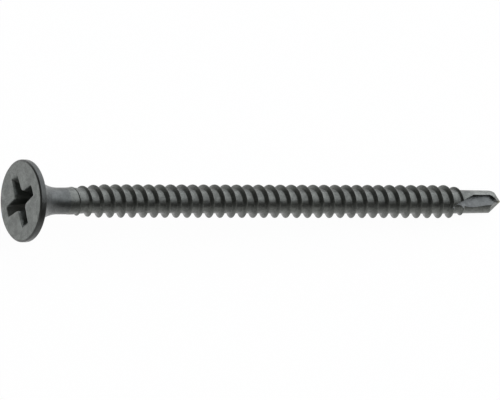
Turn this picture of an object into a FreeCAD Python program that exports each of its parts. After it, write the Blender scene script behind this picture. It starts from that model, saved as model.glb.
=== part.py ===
"""Drywall screw with a bugle head, a cross recess, a right-hand thread and a drill point.

Millimetres. The screw is drawn upright in its own body, with the head's face on
the XY plane and the tip along +Z. It is then laid down on its rim and its thread,
head at -X and tip at +X, with the origin under the middle of its box.
"""
import FreeCAD, Part
import math
import os
import Sketcher

V = FreeCAD.Vector
doc = FreeCAD.newDocument("drywall_screw")

# Driving dimensions

SIZES = [
    ("total_length", 57.0, "face of the head to the tip, along the axis"),
    ("head_width", 8.42, "outer diameter of the rim"),
    ("rim_thickness", 0.62, "rim, from the face to the start of the flare"),
    ("rim_bevel", 0.14, "bevel on both edges of the rim"),
    ("head_height", 4.3, "face to where the flare meets the shank"),
    ("shank_width", 2.74, "plain shank and the core of the thread"),
    ("thread_width", 3.44, "diameter over the crests"),
    ("thread_pitch", 1.3, "advance in one turn"),
    ("thread_first", 9.4, "face to the first full crest, on the lower side"),
    ("thread_angle", 58.0, "angle between the two flanks"),
    ("thread_sunk", 0.1, "foot of the ridge, inside the core"),
    ("runin_turns", 3.6, "turns in which the ridge rises out of the shank"),
    ("runin_slope", 5.0, "slope of the crests there"),
    ("runout_turns", 2.0, "turns in which the ridge sinks towards the point"),
    ("runout_slope", 13.0, "slope of the crests there"),
    ("point_length", 6.0, "drill point, from the tip to where the last full crest ends"),
    ("point_width", 2.3, "drill point at the foot of its cone"),
    ("tip_length", 1.1, "cone at the very end"),
    ("flute_full", 4.0, "flute at its full depth, from the tip"),
    ("flute_length", 6.4, "flute, from the tip to where it runs out"),
    ("flute_wall", 0.65, "cutting wall, off the plane of the axis"),
    ("flute_depth", 0.42, "foot of the cutting wall, from the axis"),
    ("flute_slope", 27.0, "slope of the flute's floor away from that wall"),
    ("flute_end_wall", -0.45, "cutting wall where the flute runs out"),
    ("flute_end_depth", 1.35, "its foot where the flute runs out"),
    ("flute_turn", 120.6, "place of the flutes round the axis"),
    ("cross_width", 5.3, "recess, tip to tip of two wings"),
    ("wing_width", 1.1, "width of a wing at its tip"),
    ("wing_flare", 13.5, "angle at which a wing's sides open inwards"),
    ("cross_depth", 2.3, "recess, face to the floor of the wings"),
    ("floor_width", 2.2, "recess at its floor, tip to tip"),
    ("floor_wing", 0.6, "width of a wing's tip at the floor"),
    ("cross_turn", 6.7, "place of the wings round the axis"),
]

sheet = doc.addObject("Spreadsheet::Sheet", "Sizes")
for row, (alias, value, note) in enumerate(SIZES, start=1):
    sheet.set(f"A{row}", note)
    sheet.set(f"B{row}", str(value))
    sheet.setAlias(f"B{row}", alias)
doc.recompute()

# Sketching


def new_sketch(body, name, role, turn=None):
    """Sketch on one of the body's origin planes, turned about the screw's axis if asked."""
    sketch = body.newObject("Sketcher::SketchObject", name)
    plane = next(f for f in body.Origin.OriginFeatures if f.Role == role)
    sketch.AttachmentSupport = [(plane, "")]
    sketch.MapMode = "FlatFace"
    if turn:
        axis = V(0, 0, 1) if role == "XY_Plane" else V(0, 1, 0)
        sketch.AttachmentOffset = FreeCAD.Placement(V(), FreeCAD.Rotation(axis, 1))
        sketch.setExpression("AttachmentOffset.Rotation.Angle", turn)
    return sketch


def evaluate(sketch, formula):
    """Number that a formula on the sheet's names gives."""
    value = sketch.evalExpression(formula)
    return float(getattr(value, "Value", value))


def arc_between(start, stop, radius, side):
    """Arc from start to stop whose centre lies to the left (side 1) or right (side -1)."""
    half = (stop - start) * 0.5
    across = V(-half.y, half.x, 0).normalize() * side
    centre = start + half + across * math.sqrt(radius**2 - half.Length**2)
    middle = centre + (start + half - centre).normalize() * radius
    return Part.Arc(start, middle, stop)


def outline(sketch, corners, arcs=None):
    """Closed outline through corners, each a pair of formulas.

    arcs maps a side, counted from its first corner, to a radius formula and the
    side on which its centre lies. All other sides are straight.
    """
    arcs = arcs or {}
    places = [V(evaluate(sketch, x), evaluate(sketch, y), 0) for x, y in corners]
    ends = []
    for i, start in enumerate(places):
        stop = places[(i + 1) % len(places)]
        if i in arcs:
            radius, side = arcs[i]
            arc = arc_between(start, stop, evaluate(sketch, radius), side)
            edge = sketch.addGeometry(arc, False)
            forward = sketch.getPoint(edge, 1).distanceToPoint(start) < 1e-6
            ends.append((edge, 1, 2) if forward else (edge, 2, 1))
        else:
            edge = sketch.addGeometry(Part.LineSegment(start, stop), False)
            ends.append((edge, 1, 2))
    for i, (edge, first, last) in enumerate(ends):
        after, after_first, _ = ends[(i + 1) % len(ends)]
        sketch.addConstraint(
            Sketcher.Constraint("Coincident", edge, last, after, after_first)
        )
        for kind, formula, value in (
            ("DistanceX", corners[i][0], places[i].x),
            ("DistanceY", corners[i][1], places[i].y),
        ):
            bind(sketch, Sketcher.Constraint(kind, -1, 1, edge, first, value), formula)
        if i in arcs:
            radius = arcs[i][0]
            value = evaluate(sketch, radius)
            bind(sketch, Sketcher.Constraint("Radius", edge, value), radius)


def bind(sketch, constraint, formula):
    """Constraint whose value follows a formula on the sheet's names."""
    index = sketch.addConstraint(constraint)
    sketch.setExpression(f"Constraints[{index}]", formula)


# Blank: head, flare, shank and point, turned in one piece

screw = doc.addObject("PartDesign::Body", "screw")
RIM = "Sizes.head_width / 2"
RIM_IN = "Sizes.head_width / 2 - Sizes.rim_bevel"
SHANK = "Sizes.shank_width / 2"
CREST = "Sizes.thread_width / 2"
FLARE_OUT = f"({RIM_IN} - {SHANK})"
FLARE_LONG = "(Sizes.head_height - Sizes.rim_thickness)"
FLARE_RADIUS = f"({FLARE_OUT}^2 + {FLARE_LONG}^2) / (2 * {FLARE_OUT})"
POINT_WALL = "Sizes.point_width / 2"
POINT_START = "(Sizes.total_length - Sizes.point_length)"

blank_profile = new_sketch(screw, "blank_profile", "XZ_Plane")
outline(
    blank_profile,
    [
        ("0", "0"),
        (RIM_IN, "0"),
        (RIM, "Sizes.rim_bevel"),
        (RIM, "Sizes.rim_thickness - Sizes.rim_bevel"),
        (RIM_IN, "Sizes.rim_thickness"),
        (SHANK, "Sizes.head_height"),
        (SHANK, POINT_START),
        (POINT_WALL, "Sizes.total_length - Sizes.tip_length"),
        ("0", "Sizes.total_length"),
    ],
    {4: (FLARE_RADIUS, -1)},
)
blank = screw.newObject("PartDesign::Revolution", "blank")
blank.Profile = blank_profile
blank.ReferenceAxis = (blank_profile, ["V_Axis"])
blank.Angle = 360
doc.recompute()

# Thread: one ridge that rises from the shank, runs level and sinks at the point

RIDGE_HIGH = f"({CREST} - {SHANK} + Sizes.thread_sunk)"
RIDGE_FOOT = f"{SHANK} - Sizes.thread_sunk"
RIDGE_HALF = f"{RIDGE_HIGH} * tan(Sizes.thread_angle / 2)"
THREAD_TURNS = f"round(({POINT_START} - Sizes.thread_first) / Sizes.thread_pitch)"
THREAD_LAST = f"(Sizes.thread_first + {THREAD_TURNS} * Sizes.thread_pitch)"


def ridge_profile(name, place):
    """Section of the ridge, a triangle with its foot inside the core."""
    sketch = new_sketch(screw, name, "XZ_Plane")
    outline(
        sketch,
        [
            (RIDGE_FOOT, f"{place} - {RIDGE_HALF}"),
            (CREST, place),
            (RIDGE_FOOT, f"{place} + {RIDGE_HALF}"),
        ],
    )
    return sketch


def ridge(name, profile, turns, slope="0", towards_head=False):
    """Right-hand ridge on a helix whose radius falls by the slope."""
    helix = screw.newObject("PartDesign::AdditiveHelix", name)
    helix.Profile = profile
    helix.ReferenceAxis = (profile, ["V_Axis"])
    helix.Mode = "pitch-turns-angle"
    helix.LeftHanded = False
    helix.Reversed = towards_head
    helix.setExpression("Pitch", "Sizes.thread_pitch")
    helix.setExpression("Turns", turns)
    helix.setExpression("Angle", f"-{slope}" if towards_head else slope)
    doc.recompute()


first_section = ridge_profile("first_section", "Sizes.thread_first")
last_section = ridge_profile("last_section", THREAD_LAST)
ridge("thread", first_section, THREAD_TURNS)
ridge("thread_runin", first_section, "Sizes.runin_turns", "Sizes.runin_slope", True)
ridge("thread_runout", last_section, "Sizes.runout_turns", "Sizes.runout_slope")

# Drill point: two flutes with a cutting wall and a sloping floor

FLUTE_OUT = "Sizes.thread_width * 0.65"


def flute_section(name, place, wall, depth):
    """Section of a flute, open outwards, at a distance from the face."""
    sketch = new_sketch(screw, name, "XY_Plane", "Sizes.flute_turn")
    sketch.setExpression("AttachmentOffset.Base.z", place)
    floor = f"{depth} + ({wall} + {FLUTE_OUT}) * tan(Sizes.flute_slope)"
    outline(
        sketch,
        [
            (wall, f"{FLUTE_OUT} * 1.5"),
            (wall, depth),
            (f"-{FLUTE_OUT}", floor),
            (f"-{FLUTE_OUT}", f"{FLUTE_OUT} * 1.5"),
        ],
    )
    return sketch


def sink(name, sections):
    """Hollow with straight sides through its sections."""
    hollow = screw.newObject("PartDesign::SubtractiveLoft", name)
    hollow.Profile = sections[0]
    hollow.Sections = sections[1:]
    hollow.Ruled = True
    doc.recompute()
    return hollow


def round_the_axis(name, feature, count):
    """The feature again, count times round the screw's axis."""
    pattern = screw.newObject("PartDesign::PolarPattern", name)
    pattern.Originals = [feature]
    pattern.Axis = (blank_profile, ["V_Axis"])
    pattern.Angle = 360
    pattern.Occurrences = count
    screw.Tip = pattern
    doc.recompute()


FLUTE = ("Sizes.flute_wall", "Sizes.flute_depth")
FLUTE_END = ("Sizes.flute_end_wall", "Sizes.flute_end_depth")
flute = sink(
    "flute",
    [
        flute_section("flute_at_tip", "Sizes.total_length + 0.2", *FLUTE),
        flute_section("flute_full", "Sizes.total_length - Sizes.flute_full", *FLUTE),
        flute_section(
            "flute_end", "Sizes.total_length - Sizes.flute_length", *FLUTE_END
        ),
    ],
)
round_the_axis("flutes", flute, 2)

# Recess: four tapering wings that open inwards


def wing_section(name, place, reach, width):
    """Section of one wing, from just past the axis to its tip."""
    sketch = new_sketch(screw, name, "XY_Plane", "Sizes.cross_turn")
    sketch.setExpression("AttachmentOffset.Base.z", place)
    back = f"-{width} / 2"
    inner = f"{width} / 2 + ({reach} + {width} / 2) * tan(Sizes.wing_flare)"
    outline(
        sketch,
        [
            (back, f"-({inner})"),
            (reach, f"-{width} / 2"),
            (reach, f"{width} / 2"),
            (back, inner),
        ],
    )
    return sketch


wing = sink(
    "wing",
    [
        wing_section("wing_at_face", "0", "Sizes.cross_width / 2", "Sizes.wing_width"),
        wing_section(
            "wing_floor", "Sizes.cross_depth", "Sizes.floor_width / 2", "Sizes.floor_wing"
        ),
    ],
)
round_the_axis("recess", wing, 4)

# Lying at rest on the rim and on the last full crest, its box centred on the origin

REST_ALONG = f"({THREAD_LAST} - Sizes.rim_thickness + Sizes.rim_bevel)"
REST_TILT = f"atan(({RIM} - {CREST}) / {REST_ALONG})"
FACE_BACK = f"({RIM_IN}) * sin({REST_TILT})"
screw.Placement = FreeCAD.Placement(V(), FreeCAD.Rotation(V(0, 1, 0), 1))
screw.setExpression("Placement.Rotation.Angle", f"90 deg + {REST_TILT}")
screw.setExpression(
    "Placement.Base.x",
    f"({FACE_BACK} - Sizes.total_length * cos({REST_TILT})) / 2",
)
screw.setExpression(
    "Placement.Base.z",
    f"{THREAD_LAST} * sin({REST_TILT}) + {CREST} * cos({REST_TILT})",
)
screw.Label = "drywall_screw"
doc.recompute()

# Every object sound, then the part is written

for thing in doc.Objects:
    if {"Invalid", "Error"} & set(thing.State):
        raise RuntimeError(f"{thing.Label} is not sound: {thing.State}")
for part in (screw,):
    if part.Shape.isNull() or not part.Shape.isValid() or len(part.Shape.Solids) != 1:
        raise RuntimeError(f"{part.Label} is not one valid solid")
    os.makedirs("parts", exist_ok=True)
    part.Shape.exportStep(f"parts/{part.Label}.step")
    print(part.Label, "volume", round(part.Shape.Volume, 2), "mm3")
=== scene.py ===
"""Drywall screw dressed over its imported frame: skin, black phosphate and a plain studio."""
import logging
import math
from dataclasses import dataclass, field
from enum import Enum

import bmesh
import bpy
import numpy as np
from mathutils import Matrix, Vector


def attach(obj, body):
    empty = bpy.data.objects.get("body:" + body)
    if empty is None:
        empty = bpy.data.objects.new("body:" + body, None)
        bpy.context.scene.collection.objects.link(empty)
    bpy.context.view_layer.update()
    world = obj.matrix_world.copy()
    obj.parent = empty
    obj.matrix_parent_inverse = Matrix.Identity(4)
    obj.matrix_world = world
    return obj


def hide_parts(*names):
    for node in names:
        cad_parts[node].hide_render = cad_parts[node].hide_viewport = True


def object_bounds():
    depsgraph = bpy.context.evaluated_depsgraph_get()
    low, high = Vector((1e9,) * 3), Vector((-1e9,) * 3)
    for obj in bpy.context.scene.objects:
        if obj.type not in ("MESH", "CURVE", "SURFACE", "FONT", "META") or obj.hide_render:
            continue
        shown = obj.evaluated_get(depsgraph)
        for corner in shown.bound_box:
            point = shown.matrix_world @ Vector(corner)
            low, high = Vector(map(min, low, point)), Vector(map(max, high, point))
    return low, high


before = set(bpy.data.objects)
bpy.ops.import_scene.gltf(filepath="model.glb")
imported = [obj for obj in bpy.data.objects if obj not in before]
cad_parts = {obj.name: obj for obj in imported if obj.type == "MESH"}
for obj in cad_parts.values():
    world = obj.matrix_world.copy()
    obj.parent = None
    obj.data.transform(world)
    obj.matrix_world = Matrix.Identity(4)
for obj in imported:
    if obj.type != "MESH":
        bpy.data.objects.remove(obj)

CAD_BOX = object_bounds()
LOG = logging.getLogger("drywall_screw")
MM = 0.001
TURN = 2.0 * math.pi
AROUND = 96
HEAD_AROUND = 2 * AROUND
NEARLY_STRAIGHT = 1e-3
WHITE = (1.0, 1.0, 1.0, 1.0)

Profile = tuple[tuple[float, float], ...]
Corner = tuple[float, float, float]
Colour = tuple[float, float, float]
Socket = bpy.types.NodeSocket


class Surface(Enum):
    """How a stretch of the surface was formed, which sets its grain; the rim's stretch is also
    painted darker as shade.
    """

    HEADED = 0
    ROLLED = 1
    CUT = 2
    DRAWN = 3
    # rim and face-edge bevel: colour painted darker to stand for the shade of the rim band
    PRESSED = 4


@dataclass(frozen=True)
class Lie:
    """The screw at rest, on the rim of its head and on its last full crest, in mm."""

    length: float = 57.0
    head_width: float = 8.42
    rim_thickness: float = 0.62
    rim_bevel: float = 0.14
    crest_width: float = 3.44
    last_crest: float = 51.0

    @property
    def tilt(self) -> float:
        """Angle in radians by which the tip dips."""
        rise = (self.head_width - self.crest_width) / 2
        return math.atan(rise / (self.last_crest - self.rim_thickness + self.rim_bevel))

    @property
    def face_centre(self) -> tuple[float, float]:
        """Place of the middle of the head's face along X and Z."""
        flat = self.head_width / 2 - self.rim_bevel
        along = (flat * math.sin(self.tilt) - self.length * math.cos(self.tilt)) / 2
        up = self.last_crest * math.sin(self.tilt)
        return along, up + self.crest_width / 2 * math.cos(self.tilt)

    @property
    def axis(self) -> Vector:
        """Direction from the head to the tip."""
        return Vector((math.cos(self.tilt), 0.0, -math.sin(self.tilt)))

    def place(self, points: np.ndarray) -> np.ndarray:
        """Lays points down in the frame.

        Args:
            points: Rows of distance from the face, distance below the axis and
                distance towards +Y, in mm.

        Returns:
            Rows of X, Y and Z in metres.
        """
        along, down, side = points[:, 0], points[:, 1], points[:, 2]
        sine, cosine = math.sin(self.tilt), math.cos(self.tilt)
        start_x, start_z = self.face_centre
        x = start_x + along * cosine - down * sine
        z = start_z - along * sine - down * cosine
        return np.column_stack((x, side, z)) * MM

    def unplace(self, points: np.ndarray) -> np.ndarray:
        """Inverse of place.

        Args:
            points: Rows of X, Y and Z in metres.

        Returns:
            Rows of distance from the face, below the axis and towards +Y, in mm.
        """
        sine, cosine = math.sin(self.tilt), math.cos(self.tilt)
        start_x, start_z = self.face_centre
        x, z = points[:, 0] / MM - start_x, points[:, 2] / MM - start_z
        return np.column_stack(
            (x * cosine - z * sine, -x * sine - z * cosine, points[:, 1] / MM)
        )


class Skin:
    """Points and faces of one closed surface, in mm along and around the screw."""

    def __init__(self) -> None:
        """Starts with nothing."""
        self.points: list[tuple[float, float, float]] = []
        self.faces: list[tuple[int, ...]] = []
        self.surfaces: list[int] = []

    def add_points(self, along: np.ndarray, down: np.ndarray, side: np.ndarray) -> list[int]:
        """Adds points.

        Args:
            along: Distances from the face.
            down: Distances below the axis.
            side: Distances towards +Y.

        Returns:
            The points' numbers.
        """
        first = len(self.points)
        rows = np.column_stack(np.broadcast_arrays(along, down, side))
        self.points.extend(map(tuple, rows.tolist()))
        return list(range(first, len(self.points)))

    def add_ring(self, along: float, radius: float, count: int) -> list[int]:
        """Adds a circle about the axis.

        Args:
            along: Distance from the face.
            radius: Radius of the circle.
            count: Points on it, the first straight below the axis.

        Returns:
            The points' numbers.
        """
        turns = np.arange(count) * TURN / count
        return self.add_points(
            np.full(count, along), radius * np.cos(turns), radius * np.sin(turns)
        )

    def add_face(self, corners: tuple[int, ...], surface: Surface) -> None:
        """Adds a face, without the corners that fall together.

        Args:
            corners: Numbers of its points.
            surface: How the face was formed.
        """
        kept = tuple(dict.fromkeys(corners))
        if len(kept) > 2:
            self.faces.append(kept)
            self.surfaces.append(surface.value)

    def join(self, first: list[int], second: list[int], surface: Surface) -> list[int]:
        """Joins two rings by a strip.

        Args:
            first: One ring.
            second: The next ring, with as many points or half as many.
            surface: How the strip was formed.

        Returns:
            The second ring.
        """
        count = len(first)
        if len(second) == count:
            for i in range(count):
                j = (i + 1) % count
                self.add_face((first[i], first[j], second[j], second[i]), surface)
            return second
        for i in range(len(second)):
            j = (i + 1) % len(second)
            near, middle, far = first[2 * i], first[2 * i + 1], first[(2 * i + 2) % count]
            self.add_face((near, middle, second[i]), surface)
            self.add_face((middle, far, second[j], second[i]), surface)
        return second

    def close(self, ring: list[int], along: float, surface: Surface) -> None:
        """Closes a ring to a point on the axis.

        Args:
            ring: The ring's points.
            along: The point's distance from the face.
            surface: How the cap was formed.
        """
        (middle,) = self.add_points(*(np.array([value]) for value in (along, 0.0, 0.0)))
        for i, corner in enumerate(ring):
            self.add_face((corner, ring[(i + 1) % len(ring)], middle), surface)

    def to_object(self, name: str, lie: Lie) -> bpy.types.Object:
        """Makes the surface a Blender object.

        Args:
            name: Name of the object.
            lie: How the screw lies.

        Returns:
            The object, with its faces turned outwards.
        """
        mesh = bpy.data.meshes.new(name)
        mesh.from_pydata(lie.place(np.array(self.points)).tolist(), [], self.faces)
        mesh.polygons.foreach_set("material_index", self.surfaces)
        solid = bmesh.new()
        solid.from_mesh(mesh)
        bmesh.ops.recalc_face_normals(solid, faces=solid.faces)
        solid.to_mesh(mesh)
        solid.free()
        obj = bpy.data.objects.new(name, mesh)
        bpy.context.scene.collection.objects.link(obj)
        return obj


def rounded_outline(corners: tuple[Corner, ...], steps: int = 8) -> np.ndarray:
    """Closed outline with rounded corners.

    Args:
        corners: Each corner's two coordinates and its radius.
        steps: Runs in which each corner is rounded.

    Returns:
        The outline's points, as rows of two coordinates.
    """
    rows = []
    places = [np.array(corner[:2]) for corner in corners]
    for i, (place, corner) in enumerate(zip(places, corners)):
        back = places[i - 1] - place
        onward = places[(i + 1) % len(places)] - place
        back, onward = back / np.linalg.norm(back), onward / np.linalg.norm(onward)
        half = math.acos(float(np.clip(back @ onward, -1.0, 1.0))) / 2
        if corner[2] <= 0.0 or half > math.pi / 2 - NEARLY_STRAIGHT:
            rows.append(place)
            continue
        middle = (back + onward) / np.linalg.norm(back + onward)
        centre = place + middle * corner[2] / math.sin(half)
        cut = corner[2] / math.tan(half)
        start, stop = place + back * cut - centre, place + onward * cut - centre
        sweep = math.pi - 2 * half
        for step in range(steps + 1):
            share = step / steps
            row = start * math.sin((1 - share) * sweep) + stop * math.sin(share * sweep)
            rows.append(centre + row / math.sin(sweep))
    return np.array(rows)


def even_points(outline: np.ndarray, count: int) -> np.ndarray:
    """Spreads points evenly along a closed outline.

    Args:
        outline: Rows of two coordinates. The first is kept.
        count: Points wanted.

    Returns:
        The points, as rows of two coordinates.
    """
    closed = np.vstack((outline, outline[:1]))
    runs = np.concatenate(([0.0], np.cumsum(np.linalg.norm(np.diff(closed, axis=0), axis=1))))
    marks = np.arange(count) * runs[-1] / count
    return np.column_stack([np.interp(marks, runs, closed[:, k]) for k in (0, 1)])


@dataclass(frozen=True)
class Recess:
    """Cross recess of four tapering wings, in mm."""

    reach: float = 2.73
    wing: float = 1.17
    flare: float = math.radians(4.0)
    depth: float = 2.3
    floor_reach: float = 1.1
    floor_wing: float = 0.6
    tip_round: float = 0.08
    tip_bulge: float = 0.03
    inner_round: float = 0.45
    floor_sharper: float = 0.5
    turn: float = math.radians(6.7)
    off_centre: tuple[float, float] = (0.112, 0.066)
    lip: Profile = ((0.0, 0.06), (0.012, 0.028), (0.05, 0.0))
    depths: tuple[float, ...] = (0.3, 0.8, 1.4, 1.9, 2.18)
    floor: Profile = ((2.27, 0.93), (2.3, 0.8), (2.36, 0.4))
    floor_middle: float = 2.4

    def outline(self, depth: float, grown: float = 0.0) -> tuple[np.ndarray, np.ndarray]:
        """Outline of the recess at a depth.

        Args:
            depth: Distance from the face.
            grown: How far the outline is pushed outwards.

        Returns:
            Distances below the axis and towards +Y, for one ring of the head.
        """
        share = min(depth / self.depth, 1.0)
        reach = self.reach + (self.floor_reach - self.reach) * share + grown
        half = (self.wing + (self.floor_wing - self.wing) * share) / 2 + grown
        slope = math.tan(self.flare)
        inner = (half + reach * slope) / (1 + slope)
        fade = 1 - self.floor_sharper * share
        corners = []
        for quarter in range(4):
            angle = quarter * TURN / 4
            for u, v, radius in (
                (reach + self.tip_bulge, 0.0, 0.0),
                (reach, half, self.tip_round * fade),
                (inner, inner, self.inner_round * fade),
                (half, reach, self.tip_round * fade),
            ):
                corners.append(
                    (
                        u * math.cos(angle) - v * math.sin(angle),
                        u * math.sin(angle) + v * math.cos(angle),
                        radius,
                    )
                )
        ring = even_points(rounded_outline(tuple(corners)), HEAD_AROUND)
        down = ring[:, 0] * math.cos(self.turn) - ring[:, 1] * math.sin(self.turn)
        side = ring[:, 0] * math.sin(self.turn) + ring[:, 1] * math.cos(self.turn)
        steps = round(self.turn / TURN * HEAD_AROUND)
        off_down, off_side = self.off_centre
        return np.roll(down, steps) + off_down, np.roll(side, steps) + off_side

    def add(self, skin: Skin) -> list[int]:
        """Adds the recess.

        Args:
            skin: The screw's surface.

        Returns:
            The recess's edge in the face.
        """
        rows = [(depth, grown) for depth, grown in self.lip]
        rows += [(depth, 0.0) for depth in self.depths]
        edge: list[int] = []
        last: list[int] = []
        for depth, grown in rows:
            down, side = self.outline(depth, grown)
            ring = skin.add_points(np.full(HEAD_AROUND, depth), down, side)
            if last:
                skin.join(last, ring, Surface.HEADED)
            else:
                edge = ring
            last = ring
        down, side = self.outline(self.depth)
        for depth, scale in self.floor:
            ring = skin.add_points(np.full(HEAD_AROUND, depth), down * scale, side * scale)
            last = skin.join(last, ring, Surface.HEADED)
        skin.close(last, self.floor_middle, Surface.HEADED)
        return edge


@dataclass(frozen=True)
class Head:
    """Bugle head: face, rim and concave flare, in mm."""

    recess: Recess = field(default_factory=Recess)
    face_rows: tuple[float, ...] = (0.12, 0.4, 0.75)
    face_edge: float = 4.04
    rim: Profile = (
        (0.003, 4.06),
        (0.014, 4.08),
        (0.125, 4.19),
        (0.143, 4.203),
        (0.17, 4.207),
        (0.5, 4.207),
        (0.61, 4.203),
        (0.67, 4.194),
        (0.705, 4.17),
        (0.725, 4.13),
        (0.745, 4.04),
    )
    flare_radius: float = 3.9
    flare_end: float = 4.3
    flare_gap: float = 0.04
    flare_rows: int = 22
    flare_coarse_rows: int = 2
    flare_crowding: float = 0.8
    shank_radius: float = 1.368

    def flare_at(self, along: float) -> float:
        """Radius of the concave flare.

        Args:
            along: Distance from the face.

        Returns:
            The radius there.
        """
        reach = self.flare_end - along
        return self.shank_radius + self.flare_radius - math.sqrt(self.flare_radius**2 - reach**2)

    def add(self, skin: Skin) -> list[int]:
        """Adds the head.

        Args:
            skin: The screw's surface.

        Returns:
            The ring where the flare meets the shank.
        """
        edge = self.recess.add(skin)
        inner = np.array([skin.points[i] for i in edge])
        turns = np.arange(HEAD_AROUND) * TURN / HEAD_AROUND
        outer = np.column_stack(
            (np.zeros(HEAD_AROUND), self.face_edge * np.cos(turns), self.face_edge * np.sin(turns))
        )
        last = edge
        for share in self.face_rows:
            rows = inner + (outer - inner) * share
            last = skin.join(last, skin.add_points(*rows.T), Surface.HEADED)
        last = skin.join(last, skin.add_points(*outer.T), Surface.HEADED)
        # the rim rings take the colour that is painted darker as shade
        for along, radius in self.rim:
            last = skin.join(last, skin.add_ring(along, radius, HEAD_AROUND), Surface.PRESSED)
        start = self.rim[-1][0]
        run = self.flare_end - start - self.flare_gap
        for row in range(1, self.flare_rows + 1):
            share = row / self.flare_rows
            along = start + self.flare_gap + run * share**self.flare_crowding
            fine = row < self.flare_rows - self.flare_coarse_rows
            count = HEAD_AROUND if fine else AROUND
            ring = skin.add_ring(along, self.flare_at(along), count)
            last = skin.join(last, ring, Surface.DRAWN)
        return last


@dataclass(frozen=True)
class Thread:
    """Plain shank, then a right-hand ridge that rises, runs level and sinks, in mm."""

    pitch: float = 1.3
    first: float = 9.4
    start: float = 5.2
    stop: float = 53.6
    middle: float = 30.0
    seam: float = 1e-4
    shank_rings: tuple[float, ...] = (4.55, 4.85)
    core: Profile = (
        (4.3, 1.368),
        (5.3, 1.368),
        (5.55, 1.392),
        (6.0, 1.392),
        (6.7, 1.33),
        (7.4, 1.262),
        (8.2, 1.245),
        (50.4, 1.245),
        (51.6, 1.22),
        (52.6, 1.198),
        (53.4, 1.19),
        (54.4, 1.172),
        (55.4, 1.158),
    )
    crest: Profile = (
        (4.9, 1.2),
        (5.3, 1.37),
        (5.95, 1.455),
        (6.6, 1.514),
        (7.9, 1.616),
        (9.2, 1.708),
        (9.9, 1.72),
        (50.2, 1.72),
        (50.8, 1.7),
        (51.4, 1.55),
        (52.0, 1.455),
        (52.4, 1.28),
        (52.8, 1.12),
    )
    flank: float = math.radians(28.5)
    crest_round: float = 0.01
    root_round: float = 0.06
    across: tuple[float, ...] = (
        -0.65,
        -0.47,
        -0.35,
        -0.3,
        -0.255,
        -0.21,
        -0.125,
        -0.06,
        -0.03,
        -0.012,
        0.012,
        0.03,
        0.06,
        0.125,
        0.21,
        0.255,
        0.3,
        0.35,
        0.47,
    )

    def core_at(self, along: np.ndarray) -> np.ndarray:
        """Radius of the shank and core.

        Args:
            along: Distances from the face.

        Returns:
            The radii there.
        """
        return np.interp(along, *np.array(self.core).T)

    def radius_at(self, along: np.ndarray, turn: np.ndarray) -> np.ndarray:
        """Radius of the surface.

        Args:
            along: Distances from the face.
            turn: Angles round the axis in turns, from straight below towards +Y.

        Returns:
            The radii.
        """
        place = (along - self.first) / self.pitch - turn
        off = (place - np.round(place)) * self.pitch
        core = self.core_at(along)
        top = np.interp(along - off, *np.array(self.crest).T)
        fall = (np.sqrt(off**2 + self.crest_round**2) - self.crest_round) / math.tan(self.flank)
        ridge = top - fall
        near = np.clip(self.root_round - np.abs(ridge - core), 0.0, None) / self.root_round
        near = near * np.clip((top - core) / self.root_round, 0.0, 1.0)
        return np.maximum(ridge, core) + near**2 * self.root_round / 4

    def add(self, skin: Skin, ring: list[int]) -> list[int]:
        """Adds the shank and the thread.

        Args:
            skin: The screw's surface.
            ring: The ring where the flare ends.

        Returns:
            The ring where the thread has sunk into the point.
        """
        turns = np.arange(AROUND) / AROUND
        for along in self.shank_rings:
            ring = skin.join(ring, skin.add_ring(along, self.core[0][1], AROUND), Surface.DRAWN)
        ends = {}
        for along in (self.start, self.stop):
            radius = self.radius_at(np.full(AROUND, along), turns)
            ends[along] = skin.add_points(
                np.full(AROUND, along),
                radius * np.cos(turns * TURN),
                radius * np.sin(turns * TURN),
            )
        skin.join(ring, ends[self.start], Surface.DRAWN)
        step = len(self.across)
        lowest = math.floor((self.start - self.first) / self.pitch) - 1
        highest = math.ceil((self.stop - self.first) / self.pitch) + 1
        rows = (highest - lowest) * step
        crests = self.first + self.pitch * (lowest + np.arange(rows) // step)
        offs = np.array(self.across)[np.arange(rows) % step]
        columns: list[list[int]] = []
        for column, turn in enumerate(turns):
            along = crests + offs + self.pitch * turn
            radius = self.radius_at(along, np.full(rows, turn))
            inside = (along > self.start + self.seam) & (along < self.stop - self.seam)
            own = iter(
                skin.add_points(
                    along[inside],
                    radius[inside] * math.cos(turn * TURN),
                    radius[inside] * math.sin(turn * TURN),
                )
            )
            low, high = ends[self.start][column], ends[self.stop][column]
            ends_here = [low if before else high for before in along < self.middle]
            columns.append([next(own) if kept else end for kept, end in zip(inside, ends_here)])
        for column in range(AROUND):
            seam = column == AROUND - 1
            here, there = columns[column], columns[0][step:] if seam else columns[column + 1]
            for row in range(len(there) - 1):
                corners = (here[row], there[row], there[row + 1], here[row + 1])
                skin.add_face(corners, Surface.ROLLED)
        return ends[self.stop]


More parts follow.
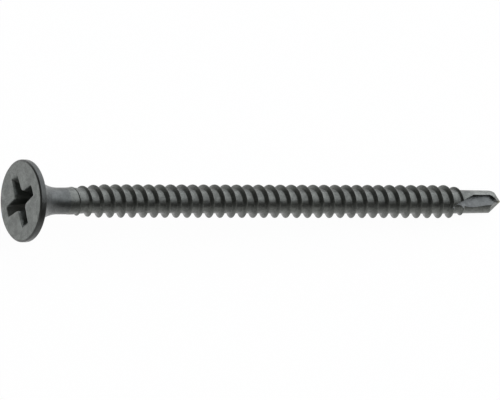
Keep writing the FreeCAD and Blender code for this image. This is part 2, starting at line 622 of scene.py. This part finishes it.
@dataclass(frozen=True)
class DrillPoint:
    """Drill point with two flutes, in mm."""

    body: Profile = ((53.6, 1.187), (54.2, 1.178), (55.0, 1.168), (57.0, 1.14))
    edge_round: float = 0.02
    cone: float = 0.957
    rows: tuple[float, ...] = (
        54.0,
        54.5,
        54.9,
        *(55.1 + 0.08 * step for step in range(23)),
        56.93,
        56.97,
    )
    lip: float = math.radians(34.0)
    relief: Profile = ((0.0, 0.0), (22.0, 0.0), (56.0, 0.285), (118.0, 0.6), (180.0, 0.0))
    tip: float = 57.0
    reach: float = 2.24
    overshoot: float = 1.5
    flute_turn: float = math.radians(120.6)
    slope: float = math.radians(27.0)
    foot_round: float = 0.06
    stations: tuple[tuple[float, float, float], ...] = (
        (57.3, -0.04, -0.2),
        (57.0, 0.0, 0.0),
        (56.7, 0.03, 0.1),
        (56.4, 0.07, 0.25),
        (56.1, 0.15, 0.44),
        (55.85, 0.27, 0.62),
        (55.65, 0.42, 0.67),
        (55.45, 0.62, 0.62),
        (55.2, 0.72, 0.58),
        (54.6, 0.72, 0.55),
        (53.2, 0.72, 0.4),
        (52.5, 0.44, 0.59),
        (51.8, 0.12, 0.88),
        (50.6, -0.45, 1.35),
        (50.1, -0.69, 1.55),
    )

    def add(self, skin: Skin, ring: list[int]) -> None:
        """Adds the point and closes the surface.

        Args:
            skin: The screw's surface.
            ring: The ring where the thread has sunk.
        """
        turns = np.arange(AROUND) * TURN / AROUND
        past = np.mod(self.flute_turn + math.pi / 2 - turns - self.lip, math.pi)
        slope = self.cone + np.interp(np.degrees(past), *np.array(self.relief).T)
        for along in self.rows:
            wall = np.interp(along, *np.array(self.body).T)
            cone = (self.tip - along) / slope
            soft = np.logaddexp(-wall / self.edge_round, -cone / self.edge_round)
            radius = -self.edge_round * soft
            places = (np.full(AROUND, along), radius * np.cos(turns), radius * np.sin(turns))
            ring = skin.join(ring, skin.add_points(*places), Surface.ROLLED)
        skin.close(ring, self.tip, Surface.ROLLED)

    def flute(self, half_turn: bool) -> Skin:
        """Hollow of one flute.

        Args:
            half_turn: Whether it is the one on the other side.

        Returns:
            The hollow as a closed surface.
        """
        skin = Skin()
        turn = self.flute_turn + (math.pi if half_turn else 0.0)
        last: list[int] = []
        first: list[int] = []
        for along, wall, depth in self.stations:
            floor = depth + (wall + self.reach) * math.tan(self.slope)
            corners = (
                (wall, self.reach * self.overshoot, 0.0),
                (wall, depth, self.foot_round),
                (-self.reach, floor, 0.0),
                (-self.reach, self.reach * self.overshoot, 0.0),
            )
            outline = rounded_outline(corners)
            down = outline[:, 0] * math.cos(turn) - outline[:, 1] * math.sin(turn)
            side = outline[:, 0] * math.sin(turn) + outline[:, 1] * math.cos(turn)
            ring = skin.add_points(np.full(len(outline), along), down, side)
            if last:
                skin.join(last, ring, Surface.CUT)
            else:
                first = ring
            last = ring
        skin.add_face(tuple(first), Surface.CUT)
        skin.add_face(tuple(last), Surface.CUT)
        return skin

    def cut_flutes(self, blank: bpy.types.Object, lie: Lie) -> None:
        """Takes both flutes out of the blank.

        Args:
            blank: The screw without its flutes.
            lie: How the screw lies.
        """
        cutters = []
        for half_turn in (False, True):
            cutter = self.flute(half_turn).to_object("flute_hollow", lie)
            for material in blank.data.materials:
                cutter.data.materials.append(material)
            cut = blank.modifiers.new("flute", "BOOLEAN")
            cut.operation, cut.solver, cut.object = "DIFFERENCE", "EXACT", cutter
            cut.material_mode = "INDEX"
            cutters.append(cutter)
        graph = bpy.context.evaluated_depsgraph_get()
        mesh = bpy.data.meshes.new_from_object(blank.evaluated_get(graph))
        blank.modifiers.clear()
        old, blank.data = blank.data, mesh
        bpy.data.meshes.remove(old)
        for cutter in cutters:
            bpy.data.meshes.remove(cutter.data)


class NodeBoard:
    """Nodes of one material, added and joined in short calls."""

    def __init__(self, material: bpy.types.Material) -> None:
        """Clears the material's nodes."""
        material.use_nodes = True
        self.tree = material.node_tree
        self.tree.nodes.clear()

    def add(self, kind: str, inputs: dict | None = None, **settings: object) -> bpy.types.Node:
        """Adds a node.

        Args:
            kind: Blender's name of the node.
            inputs: Values or sockets for its inputs, by name or number.
            settings: Its other settings.

        Returns:
            The node.
        """
        node = self.tree.nodes.new(kind)
        for key, value in settings.items():
            setattr(node, key, value)
        for key, value in (inputs or {}).items():
            if isinstance(value, Socket):
                self.tree.links.new(value, node.inputs[key])
            else:
                node.inputs[key].default_value = value
        return node

    def noise(self, place: Socket, size: float, detail: float, rough: float) -> Socket:
        """Adds a noise.

        Args:
            place: Coordinates in metres.
            size: Size of its patches in mm.
            detail: Octaves of detail.
            rough: Strength of the finer ones.

        Returns:
            Its value.
        """
        inputs = {
            "Vector": place,
            "Scale": 1.0 / (size * MM),
            "Detail": detail,
            "Roughness": rough,
        }
        return self.add("ShaderNodeTexNoise", inputs).outputs["Fac"]

    def map(
        self, value: Socket, source: tuple[float, float], target: tuple[float, float]
    ) -> Socket:
        """Maps a value from one range to another and clamps it.

        Args:
            value: The value.
            source: Range that it comes from.
            target: Range that it goes to.

        Returns:
            The mapped value.
        """
        inputs = {0: value, 1: source[0], 2: source[1], 3: target[0], 4: target[1]}
        return self.add("ShaderNodeMapRange", inputs).outputs[0]

    def mix(self, share: object, first: object, second: object) -> Socket:
        """Mixes two colours.

        Args:
            share: Share of the second one.
            first: The first colour.
            second: The second colour.

        Returns:
            The mixed colour.
        """
        node = self.add("ShaderNodeMix", {0: share, 6: first, 7: second}, data_type="RGBA")
        return node.outputs[2]

    def math(self, work: str, first: object, second: object) -> Socket:
        """Works out one value from two.

        Args:
            work: Blender's name of the operation.
            first: The first value.
            second: The second value.

        Returns:
            The result.
        """
        return self.add("ShaderNodeMath", {0: first, 1: second}, operation=work).outputs[0]


@dataclass(frozen=True)
class PhosphateFinish:
    """Black phosphate under a trace of oil: dull crystals, mottled, rubbed on its edges; its
    rubbed colour is also laid as a painted highlight on the point's upper land.
    """

    name: str
    dark: Colour
    light: Colour
    # colour of rubbed crests and rim, also laid as painted highlight on the point's upper land
    rubbed_and_highlight: Colour = (0.15, 0.158, 0.15)
    bare: Colour = (0.33, 0.3, 0.15)
    metallic: float = 0.9
    roughness: tuple[float, float] = (0.36, 0.5)
    oil: float = 0.5
    oil_roughness: float = 0.3
    speck: float = 0.13
    crystal: float = 0.05
    crystal_height: float = 0.008
    pit: float = 0.22
    pit_height: float = 0.02
    mottle: float = 0.7
    mottle_range: tuple[float, float] = (0.36, 0.66)
    speck_range: tuple[float, float] = (0.32, 0.68)
    speck_share: tuple[float, float] = (-0.55, 0.55)
    worn_and_highlight_range: tuple[float, float] = (0.4, 0.62)
    worn_and_highlight_share: tuple[float, float] = (0.25, 1.0)
    rough_range: tuple[float, float] = (0.75, 1.25)

    def make(self) -> bpy.types.Material:
        """Makes the material."""
        material = bpy.data.materials.new(self.name)
        board = NodeBoard(material)
        place = board.add("ShaderNodeTexCoord").outputs["Object"]
        mottle = board.noise(place, self.mottle, 5.0, 0.6)
        pits = board.noise(place, self.pit, 4.0, 0.6)
        crystals = board.add(
            "ShaderNodeTexVoronoi", {"Vector": place, "Scale": 1.0 / (self.crystal * MM)}
        ).outputs["Distance"]
        fine = board.noise(place, self.speck, 4.0, 0.7)
        # share of the rubbed colour: rubbed crests and rim, a lighter flare, and painted highlight
        # on the point's upper land
        worn_and_highlight = board.add("ShaderNodeAttribute", attribute_name="rubbed_and_highlight").outputs["Fac"]
        share = board.map(mottle, self.mottle_range, (0.0, 1.0))
        specks = board.map(fine, self.speck_range, self.speck_share)
        share = board.math("ADD", share, specks)
        colour = board.mix(share, (*self.dark, 1.0), (*self.light, 1.0))
        patches = board.map(pits, self.worn_and_highlight_range, self.worn_and_highlight_share)
        rub_and_highlight = board.math("MULTIPLY", worn_and_highlight, patches)
        colour = board.mix(rub_and_highlight, colour, (*self.rubbed_and_highlight, 1.0))
        bare = board.add("ShaderNodeAttribute", attribute_name="bare").outputs["Fac"]
        colour = board.mix(bare, colour, (*self.bare, 1.0))
        both = board.math("ADD", mottle, fine)
        rough = board.map(both, self.rough_range, self.roughness[::-1])
        low = board.add(
            "ShaderNodeBump", {"Height": pits, "Distance": self.pit_height * MM}
        )
        high = board.add(
            "ShaderNodeBump",
            {"Height": crystals, "Distance": self.crystal_height * MM, "Normal": low.outputs[0]},
        )
        shader = board.add(
            "ShaderNodeBsdfPrincipled",
            {
                "Base Color": colour,
                "Metallic": self.metallic,
                "Roughness": rough,
                "Normal": high.outputs[0],
                "Coat Weight": self.oil,
                "Coat Roughness": self.oil_roughness,
                "Coat Normal": low.outputs[0],
            },
        )
        board.add("ShaderNodeOutputMaterial", {"Surface": shader.outputs[0]})
        return material


@dataclass(frozen=True)
class Wear:
    """Where the coating is rubbed thin or gone, and where the point's land is painted lighter as a
    highlight, in mm.
    """

    crest_from: float = 1.6
    crest_over: float = 0.12
    rim_from: float = 4.08
    rim_over: float = 0.12
    rim_end: float = 1.0
    # painted highlight: the point's land is lighter past here, most on its side towards the lamps
    land_highlight_from: float = 52.9
    land_highlight_over: float = 0.6
    land_highlight_level: float = 0.45
    land_highlight_rise: float = 0.6
    land_highlight_way: tuple[float, float] = (0.5, 0.87)
    flare_from: float = 0.76
    flare_to: float = 3.7
    flare_over: float = 1.8
    tip_from: float = 56.5
    tip_over: float = 0.4
    tip_share: float = 0.6

    def rubbed_and_highlight(self, rows: np.ndarray, thread: Thread) -> np.ndarray:
        """Share of rubbed coating on crests and rim, of a lighter flare near the head, and of
        painted highlight on the point's land, strongest on its upper side.

        Args:
            rows: Points along, below and beside the axis.
            thread: The thread.

        Returns:
            A share for each point.
        """
        along, down, side = rows.T
        radius = np.hypot(down, side)
        threaded = (along > thread.start) & (along < thread.stop)
        crest = np.clip((radius - self.crest_from) / self.crest_over, 0.0, 1.0) * threaded
        rim = np.clip((radius - self.rim_from) / self.rim_over, 0.0, 1.0) * (along < self.rim_end)
        # painted highlight: lighter on the side of the land that faces up and towards the lamps
        towards_highlight = self.land_highlight_way[1] * side - self.land_highlight_way[0] * down
        highlit_side = np.clip(self.land_highlight_level + self.land_highlight_rise * towards_highlight, 0.0, 1.0)
        land_highlight = np.clip((along - self.land_highlight_from) / self.land_highlight_over, 0.0, 1.0) * highlit_side
        flare = np.clip((self.flare_to - along) / self.flare_over, 0.0, 1.0)
        return np.maximum.reduce((crest, rim, land_highlight, flare * (along > self.flare_from)))

    def bare(self, rows: np.ndarray) -> np.ndarray:
        """Share of bare metal at the tip.

        Args:
            rows: Points along, below and beside the axis.

        Returns:
            A share for each point.
        """
        return np.clip((rows[:, 0] - self.tip_from) / self.tip_over, 0.0, 1.0) * self.tip_share


@dataclass(frozen=True)
class Screw:
    """The whole screw: one skin over head, shank, thread and point."""

    lie: Lie = field(default_factory=Lie)
    head: Head = field(default_factory=Head)
    thread: Thread = field(default_factory=Thread)
    point: DrillPoint = field(default_factory=DrillPoint)
    wear: Wear = field(default_factory=Wear)
    finishes: dict[Surface, PhosphateFinish] = field(
        default_factory=lambda: {
            Surface.HEADED: PhosphateFinish(
                "phosphate_on_headed_steel", (0.108, 0.118, 0.111), (0.18, 0.194, 0.184)
            ),
            Surface.ROLLED: PhosphateFinish(
                "phosphate_on_rolled_steel",
                (0.068, 0.073, 0.066),
                (0.118, 0.125, 0.114),
                (0.185, 0.193, 0.178),
            ),
            Surface.CUT: PhosphateFinish(
                "phosphate_on_cut_steel",
                (0.068, 0.073, 0.071),
                (0.104, 0.111, 0.109),
                (0.086, 0.092, 0.09),
            ),
            Surface.DRAWN: PhosphateFinish(
                "phosphate_on_drawn_steel",
                (0.052, 0.057, 0.055),
                (0.086, 0.093, 0.09),
                (0.135, 0.145, 0.143),
            ),
            # painted shade: the rim's colours are set darker than the face and shank to stand for
            # the shade on the rim band
            Surface.PRESSED: PhosphateFinish(
                "phosphate_on_pressed_steel_painted_dark",
                (0.036, 0.039, 0.037),
                (0.056, 0.06, 0.056),
                (0.05, 0.053, 0.05),
            ),
        }
    )
    sharp: float = math.radians(32.0)

    def build(self) -> bpy.types.Object:
        """Builds the screw and lays its finishes on.

        Returns:
            The finished object.
        """
        skin = Skin()
        ring = self.head.add(skin)
        ring = self.thread.add(skin, ring)
        self.point.add(skin, ring)
        screw = skin.to_object("screw_skin", self.lie)
        for surface in Surface:
            screw.data.materials.append(self.finishes[surface].make())
        self.point.cut_flutes(screw, self.lie)
        self.dress(screw)
        return screw

    def dress(self, screw: bpy.types.Object) -> None:
        """Marks sharp edges, rubbed places and the painted highlight on the point's upper land.

        Args:
            screw: The screw with its flutes cut.
        """
        mesh = screw.data
        mesh.name = "screw_skin"
        mesh.shade_smooth()
        solid = bmesh.new()
        solid.from_mesh(mesh)
        for edge in solid.edges:
            if len(edge.link_faces) != 2:
                LOG.warning("open edge at %s", tuple(edge.verts[0].co))
                continue
            one, other = edge.link_faces
            kinds = {one.material_index, other.material_index}
            if Surface.CUT.value in kinds:
                edge.smooth = len(kinds) == 1 and edge.calc_face_angle() < self.sharp
        solid.to_mesh(mesh)
        solid.free()
        places = np.empty(len(mesh.vertices) * 3, dtype=np.float32)
        mesh.vertices.foreach_get("co", places)
        rows = self.lie.unplace(places.reshape(-1, 3).astype(float))
        # the rubbed share also carries the painted highlight on the point's upper land
        shares = {"rubbed_and_highlight": self.wear.rubbed_and_highlight(rows, self.thread), "bare": self.wear.bare(rows)}
        for name, share in shares.items():
            layer = mesh.attributes.new(name, "FLOAT", "POINT")
            layer.data.foreach_set("value", share.astype(np.float32))


@dataclass(frozen=True)
class Lamp:
    """A soft lamp over the screw, shifted along it towards the tip."""

    name: str
    towards: tuple[float, float, float]
    distance: float
    wide: float
    high: float
    radiance: float
    shift: float = 0.0

    def hang(self, colour: Colour) -> None:
        """Hangs the lamp.

        Args:
            colour: Colour of its light.
        """
        light = bpy.data.lights.new(self.name, "AREA")
        light.shape, light.size, light.size_y = "RECTANGLE", self.wide, self.high
        light.energy = self.radiance * math.pi * self.wide * self.high
        light.color = colour
        lamp = bpy.data.objects.new(self.name, light)
        way = Vector(self.towards).normalized()
        lamp.location = way * self.distance + Vector((self.shift, 0.0, 0.0))
        lamp.rotation_mode = "QUATERNION"
        lamp.rotation_quaternion = way.to_track_quat("Z", "X")
        bpy.context.scene.collection.objects.link(lamp)


@dataclass(frozen=True)
class Studio:
    """Pale floor, soft lamps, an even sky and the camera."""

    floor_colour: Colour = (0.93, 0.93, 0.93)
    floor_roughness: float = 0.9
    floor_shine: float = 0.1
    floor_size: float = 6.0
    floor_gap: float = 1e-6
    floor_glow: float = 0.97
    sky_colour: Colour = (0.104, 0.1, 0.094)
    lamps: tuple[Lamp, ...] = (
        Lamp(
            "softbox_above",
            towards=(0.0, 0.292, 0.956),
            distance=1.3,
            wide=2.6,
            high=3.4,
            radiance=1.8,
            shift=1.4,
        ),
        Lamp(
            "bright_backdrop",
            towards=(0.0, 1.0, 0.25),
            distance=1.6,
            wide=1.4,
            high=3.4,
            radiance=1.3,
            shift=1.2,
        ),
        Lamp(
            "fill_at_the_tip",
            towards=(1.0, 0.1, 0.3),
            distance=2.4,
            wide=1.6,
            high=1.0,
            radiance=0.7,
        ),
    )
    lamp_colour: Colour = (0.98, 1.0, 1.05)
    azimuth: float = math.radians(47.039)
    elevation: float = math.radians(50.0)
    roll: float = math.radians(0.11)
    lens: float = 1250.0
    sensor: float = 36.0
    clip: tuple[float, float] = (0.2, 5.0)
    frame_width_px: int = 500
    px_per_mm: float = 9.777
    middle_along: float = 27.05
    middle_above: float = 0.132

    def set_floor(self) -> None:
        """Lays the floor."""
        material = bpy.data.materials.new("pale_floor")
        board = NodeBoard(material)
        shader = board.add(
            "ShaderNodeBsdfPrincipled",
            {
                "Base Color": (*self.floor_colour, 1.0),
                "Roughness": self.floor_roughness,
                "Specular IOR Level": self.floor_shine,
            },
        )
        path = board.add("ShaderNodeLightPath").outputs
        seen = board.math("ADD", path["Is Camera Ray"], path["Is Glossy Ray"])
        seen = board.math("ADD", seen, path["Is Transmission Ray"])
        glow = board.add("ShaderNodeEmission", {"Color": WHITE, "Strength": 1.0})
        share = board.math("MULTIPLY", seen, self.floor_glow)
        inputs = {0: share, 1: shader.outputs[0], 2: glow.outputs[0]}
        floor = board.add("ShaderNodeMixShader", inputs)
        board.add("ShaderNodeOutputMaterial", {"Surface": floor.outputs[0]})
        half = self.floor_size / 2
        mesh = bpy.data.meshes.new("floor")
        turns = ((-half, -half), (half, -half), (half, half), (-half, half))
        corners = [(x, y, 0.0) for x, y in turns]
        mesh.from_pydata(corners, [], [(0, 1, 2, 3)])
        mesh.materials.append(material)
        floor = bpy.data.objects.new("floor", mesh)
        floor.location.z = CAD_BOX[0].z - self.floor_gap
        bpy.context.scene.collection.objects.link(floor)

    def set_sky(self) -> None:
        """Sets the even sky."""
        world = bpy.data.worlds.new("sky")
        world.use_nodes = True
        sky = world.node_tree.nodes["Background"]
        sky.inputs["Color"].default_value = (*self.sky_colour, 1.0)
        sky.inputs["Strength"].default_value = 1.0
        bpy.context.scene.world = world

    def set_camera(self, lie: Lie) -> None:
        """Sets the camera where the photograph was taken.

        Args:
            lie: How the screw lies.
        """
        level = math.cos(self.elevation)
        back = Vector(
            (
                -math.sin(self.azimuth) * level,
                -math.cos(self.azimuth) * level,
                math.sin(self.elevation),
            )
        )
        right = (lie.axis - back * lie.axis.dot(back)).normalized()
        right = Matrix.Rotation(self.roll, 3, back) @ right
        up = back.cross(right)
        camera = bpy.data.cameras.new("camera")
        camera.lens, camera.sensor_width = self.lens, self.sensor
        width = self.frame_width_px / self.px_per_mm * MM
        distance = self.lens / self.sensor * width
        camera.clip_start, camera.clip_end = (distance * share for share in self.clip)
        middle = Vector(lie.place(np.array([[self.middle_along, 0.0, 0.0]]))[0])
        holder = bpy.data.objects.new("camera", camera)
        place = middle + up * self.middle_above * MM + back * distance
        aim = Matrix((right, up, back)).transposed().to_4x4()
        holder.matrix_world = Matrix.Translation(place) @ aim
        bpy.context.scene.collection.objects.link(holder)
        bpy.context.scene.camera = holder

    def build(self, lie: Lie) -> None:
        """Builds the studio.

        Args:
            lie: How the screw lies.
        """
        self.set_floor()
        self.set_sky()
        for lamp in self.lamps:
            lamp.hang(self.lamp_colour)
        self.set_camera(lie)
        bpy.context.scene.view_settings.view_transform = "Standard"


def main() -> None:
    """Builds the screw and the studio in order."""
    logging.basicConfig(level=logging.INFO, format="%(message)s")
    design = Screw()
    screw = design.build()
    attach(screw, "root")
    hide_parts("drywall_screw")
    mesh = screw.data
    LOG.info("%s: %d points, %d faces", screw.name, len(mesh.vertices), len(mesh.polygons))
    studio = Studio()
    studio.build(design.lie)
    LOG.info("studio: floor, sky, %d lamps, camera", len(studio.lamps))


if __name__ == "__main__":
    main()
